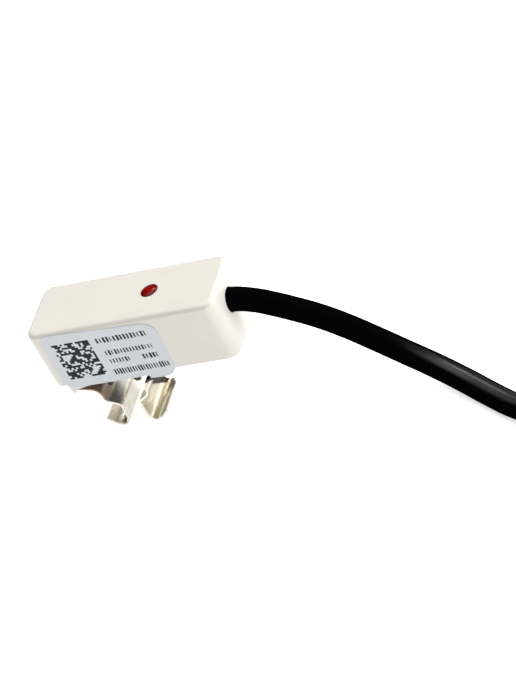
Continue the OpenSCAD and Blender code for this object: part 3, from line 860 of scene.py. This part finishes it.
def label_outline(settings):
    """The label's outline in X and Z, in metres.

    It is cut along the cheek up to its loose corner.
    """
    half_l, half_h = settings.length / 2, settings.height / 2
    turn = Matrix.Rotation(settings.slant, 2)
    points = []
    for corner_x, corner_z, first in ((1, 1, 0), (-1, 1, 90), (-1, -1, 180), (1, -1, 270)):
        r = settings.right_corner if corner_x > 0 else settings.left_corner
        for step in range(CORNER_POINTS):
            angle = math.radians(first + 90 / (CORNER_POINTS - 1) * step)
            corner = Vector((
                corner_x * (half_l - r) + r * math.cos(angle),
                corner_z * (half_h - r) + r * math.sin(angle),
            ))
            points.append(turn @ corner + metres(LABEL_MIDDLE))
    # The lower edge runs from the third corner's last point to the fourth corner's first
    cut_z, loose_x = CUT_Z * MM, LOOSE_X * MM
    upper, loose = points[:3 * CORNER_POINTS], points[3 * CORNER_POINTS:]
    last, first = upper[-1], loose[0]
    below_cut = last.lerp(first, (loose_x - last.x) / (first.x - last.x))
    cut = [Vector((p.x, max(p.y, cut_z))) for p in upper]
    return [*cut, Vector((loose_x, cut_z)), below_cut, *loose]


def lens_profile(settings, flange, foot_z, face_z):
    """The lamp's flange, wall and low round lens, as distances from its axis and heights."""
    r, rise = settings.diameter / 2, settings.lens_rise
    sphere = (r * r + rise * rise) / (2 * rise)
    flange_z = foot_z + LAMP_FLANGE
    profile = [(0.0, foot_z), (flange, foot_z), (flange, flange_z), (r, flange_z)]
    profile += [(r, face_z - LAMP_WALL), (r, face_z)]
    for step in range(1, LENS_STEPS + 1):
        out = r * (1 - step / LENS_STEPS)
        profile.append((out, face_z + math.sqrt(sphere**2 - out**2) - (sphere - rise)))
    return profile


# Operators


class SENSOR_OT_stage(bpy.types.Operator):
    """Sets the camera, the pale floor and the soft lights"""

    bl_idname = "sensor.stage"
    bl_label = "Stage"

    def execute(self, context):
        scene = context.scene
        settings = scene.sensor_stage
        camera_data = bpy.data.cameras.new("camera")
        camera_data.lens = CAMERA_LENS
        camera_data.sensor_width = CAMERA_FILM
        camera_data.clip_start, camera_data.clip_end = 0.01, 20
        camera = bpy.data.objects.new("camera", camera_data)
        right, up = Vector(CAMERA_RIGHT), Vector(CAMERA_UP)
        turned = Matrix((right, up, right.cross(up))).transposed().to_4x4()
        camera.matrix_world = Matrix.Translation(metres(CAMERA_PLACE)) @ turned
        scene.collection.objects.link(camera)
        scene.camera = camera

        half = settings.floor_size / 2
        floor_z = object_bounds()[0].z
        corners = ((-half, -half), (half, -half), (half, half), (-half, half))
        mesh = bpy.data.meshes.new("floor")
        mesh.from_pydata([(x, y, floor_z) for x, y in corners], [], [(0, 1, 2, 3)])
        floor = bpy.data.objects.new("floor", mesh)
        scene.collection.objects.link(floor)
        paint(floor, floor_paper(settings))
        floor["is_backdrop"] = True

        world = bpy.data.worlds.new("studio")
        world.use_nodes = True
        background = world.node_tree.nodes["Background"]
        background.inputs["Color"].default_value = (1, 1, 1, 1)
        background.inputs["Strength"].default_value = settings.sky
        scene.world = world
        scene.view_settings.view_transform = "Standard"
        scene.view_settings.look = "None"

        for name, (place, size, power) in SOFT_BOXES.items():
            light_data = bpy.data.lights.new(name, "AREA")
            light_data.energy = getattr(settings, power)
            light_data.size = size
            light_data.use_shadow = settings.shadows
            light = bpy.data.objects.new(name, light_data)
            light.location = place
            light.rotation_mode = "QUATERNION"
            towards = Vector(LIGHT_AIM) - Vector(place)
            light.rotation_quaternion = towards.to_track_quat("-Z", "Y")
            scene.collection.objects.link(light)
        return {"FINISHED"}


class SENSOR_OT_lead(bpy.types.Operator):
    """Makes the lead, its hank, its four bare cores and their tinned tips"""

    bl_idname = "sensor.lead"
    bl_label = "Lead"

    def execute(self, context):
        settings = context.scene.sensor_lead
        lead = curve_piece(
            "lead", LEAD_ROUTE + hank_points() + TAIL_ROUTE, settings.jacket,
            jacket_black(settings.jacket_colour),
            "cable_lead", "cable_hank", "cable_tail", slot="jacket_black",
        )
        jacket_end = Vector(TAIL_ROUTE[-1])
        pieces, tips = [], []
        for name, route in CORE_ROUTES.items():
            start = jacket_end + Vector((0, *CORE_PLACES[name]))
            inside = start + Vector((CORE_INSIDE, 0, 0))
            straight = start - Vector((CORE_STRAIGHT, 0, 0))
            pieces.append(curve_piece(
                f"{name}_core_end", [inside, start, straight, *map(Vector, route)],
                settings.core, core_plastic(f"{name}_core", getattr(settings, name)),
                f"{name}_core", slot=f"core_{name}",
            ))
            tips.append((metres(route[-1]), Vector(route[-1]) - Vector(route[-2])))

        def build(shape):
            radius = settings.core * TIP_SHARE
            for start, direction in tips:
                stranded_tip(shape, start, direction, radius, settings.strand_sides)

        pieces.append(mesh_piece(
            "tinned_strands", build, bright_tin(), "tinned_tips", slot="tinned_metal"
        ))
        strap = strap_plastic("tie_black", SOFT_BLACK)
        for name in ("front_tie", "back_tie"):
            paint(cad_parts[name], strap)
            pieces.append(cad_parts[name])
        return {"FINISHED"}


class SENSOR_OT_label(bpy.types.Operator):
    """Makes the label on the body's side"""

    bl_idname = "sensor.label"
    bl_label = "Label"

    def execute(self, context):
        settings = context.scene.sensor_label
        outline = label_outline(settings)
        back_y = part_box("housing")[0].y
        front_y = back_y - settings.thickness

        def build(shape):
            front = [shape.verts.new((p.x, front_y, p.y)) for p in outline]
            back = [shape.verts.new((p.x, back_y, p.y)) for p in outline]
            shape.faces.new(front)
            shape.faces.new(back[::-1])
            for i in range(len(outline)):
                shape.faces.new((front[i], back[i], back[i - 1], front[i - 1]))

        mesh_piece("label_sheet", build, label_film(settings), "label", slot="label_film")
        return {"FINISHED"}


class SENSOR_OT_lamp(bpy.types.Operator):
    """Makes the red lamp with its low lens"""

    bl_idname = "sensor.lamp"
    bl_label = "Lamp"

    def execute(self, context):
        settings = context.scene.sensor_lamp
        low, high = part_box("indicator_led")
        x, y = (low.x + high.x) / 2, (low.y + high.y) / 2
        face_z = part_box("housing")[1].z
        profile = lens_profile(settings, (high.x - low.x) / 2, low.z, face_z)

        def build(shape):
            rings = []
            for out, z in profile:
                angles = [math.tau * side / LAMP_SIDES for side in range(LAMP_SIDES if out else 1)]
                rings.append([
                    shape.verts.new((x + out * math.cos(a), y + out * math.sin(a), z))
                    for a in angles
                ])
            for level, (below, above) in enumerate(zip(rings, rings[1:])):
                for side in range(LAMP_SIDES):
                    after = side + 1
                    corners = (
                        below[side % len(below)], below[after % len(below)],
                        above[after % len(above)], above[side % len(above)],
                    )
                    # A ring of one point makes triangles
                    face = shape.faces.new(list(dict.fromkeys(corners)))
                    face.smooth = level >= len(profile) - LENS_STEPS

        mesh_piece("lamp_lens", build, lamp_red(settings, x, y), "indicator_led", slot="red_lens")
        return {"FINISHED"}


class SENSOR_OT_body(bpy.types.Operator):
    """Finishes the moulded body, its cover, the spring clip and the grommet"""

    bl_idname = "sensor.body"
    bl_label = "Body and Clip"

    def execute(self, context):
        settings = context.scene.sensor_shell
        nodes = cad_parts
        paint(nodes["housing"], moulded_white(settings))
        paint(nodes["rear_cover"], cover_black())
        paint(nodes["spring_clip"], spring_steel(settings))
        paint(nodes["cable_grommet"], rubber_black())
        return {"FINISHED"}


class SENSOR_OT_inside(bpy.types.Operator):
    """Finishes the pieces inside the body"""

    bl_idname = "sensor.inside"
    bl_label = "Inside"

    def execute(self, context):
        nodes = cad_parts
        lead = context.scene.sensor_lead
        tin = bright_tin()
        chip = moulded_dark("chip_black", SOFT_BLACK, 0.00015)
        finishes = {
            "circuit_board": board_green(),
            "sensing_electrode": plain_metal("copper", *COPPER, roughness=0.25),
            "electrode_pin": plain_metal("gilt", *GILT, roughness=0.2),
            "microcontroller": chip,
            "voltage_regulator": chip,
            "output_transistor": chip,
            "protection_diode": chip,
            "capacitors": moulded_dark("capacitor_tan", CAPACITOR_TAN, 0.0002),
            "resistors": moulded_dark("resistor_dark", RESISTOR_DARK, 0.0002),
            "led_legs": tin,
            "solder_joints": tin,
            "inner_tie": strap_plastic("nylon_white", NYLON_WHITE),
        }
        for core in CORE_PLACES:
            finishes[f"{core}_core_inside"] = core_plastic(
                f"{core}_core_inner", getattr(lead, core)
            )
        for name, material in finishes.items():
            paint(nodes[name], material)
        return {"FINISHED"}


class SENSOR_PT_sidebar(bpy.types.Panel):
    """Sizes and colours of the level sensor"""

    bl_idname = "SENSOR_PT_sidebar"
    bl_label = "Level Sensor"
    bl_space_type = "VIEW_3D"
    bl_region_type = "UI"
    bl_category = "Level Sensor"

    def draw(self, context):
        scene = context.scene
        for operator, group in (
            (SENSOR_OT_stage, scene.sensor_stage),
            (SENSOR_OT_lead, scene.sensor_lead),
            (SENSOR_OT_label, scene.sensor_label),
            (SENSOR_OT_lamp, scene.sensor_lamp),
            (SENSOR_OT_body, scene.sensor_shell),
            (SENSOR_OT_inside, None),
        ):
            box = self.layout.box()
            box.operator(operator.bl_idname)
            if group:
                for name in group.bl_rna.properties.keys():
                    if name not in ("rna_type", "name"):
                        box.prop(group, name)


GROUPS = {
    "sensor_stage": StageSettings,
    "sensor_lead": LeadSettings,
    "sensor_label": LabelSettings,
    "sensor_lamp": LampSettings,
    "sensor_shell": ShellSettings,
}
OPERATORS = (
    SENSOR_OT_stage, SENSOR_OT_lead, SENSOR_OT_label, SENSOR_OT_lamp, SENSOR_OT_body,
    SENSOR_OT_inside,
)
CLASSES = (*GROUPS.values(), *OPERATORS, SENSOR_PT_sidebar)


def register():
    for cls in CLASSES:
        bpy.utils.register_class(cls)
    for name, group in GROUPS.items():
        setattr(bpy.types.Scene, name, PointerProperty(type=group))


def unregister():
    for name in GROUPS:
        delattr(bpy.types.Scene, name)
    for cls in reversed(CLASSES):
        bpy.utils.unregister_class(cls)


def main():
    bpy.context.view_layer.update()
    register()
    bpy.ops.sensor.stage()
    bpy.ops.sensor.lead()
    bpy.ops.sensor.label()
    bpy.ops.sensor.lamp()
    bpy.ops.sensor.body()
    bpy.ops.sensor.inside()


if __name__ == "__main__":
    main()
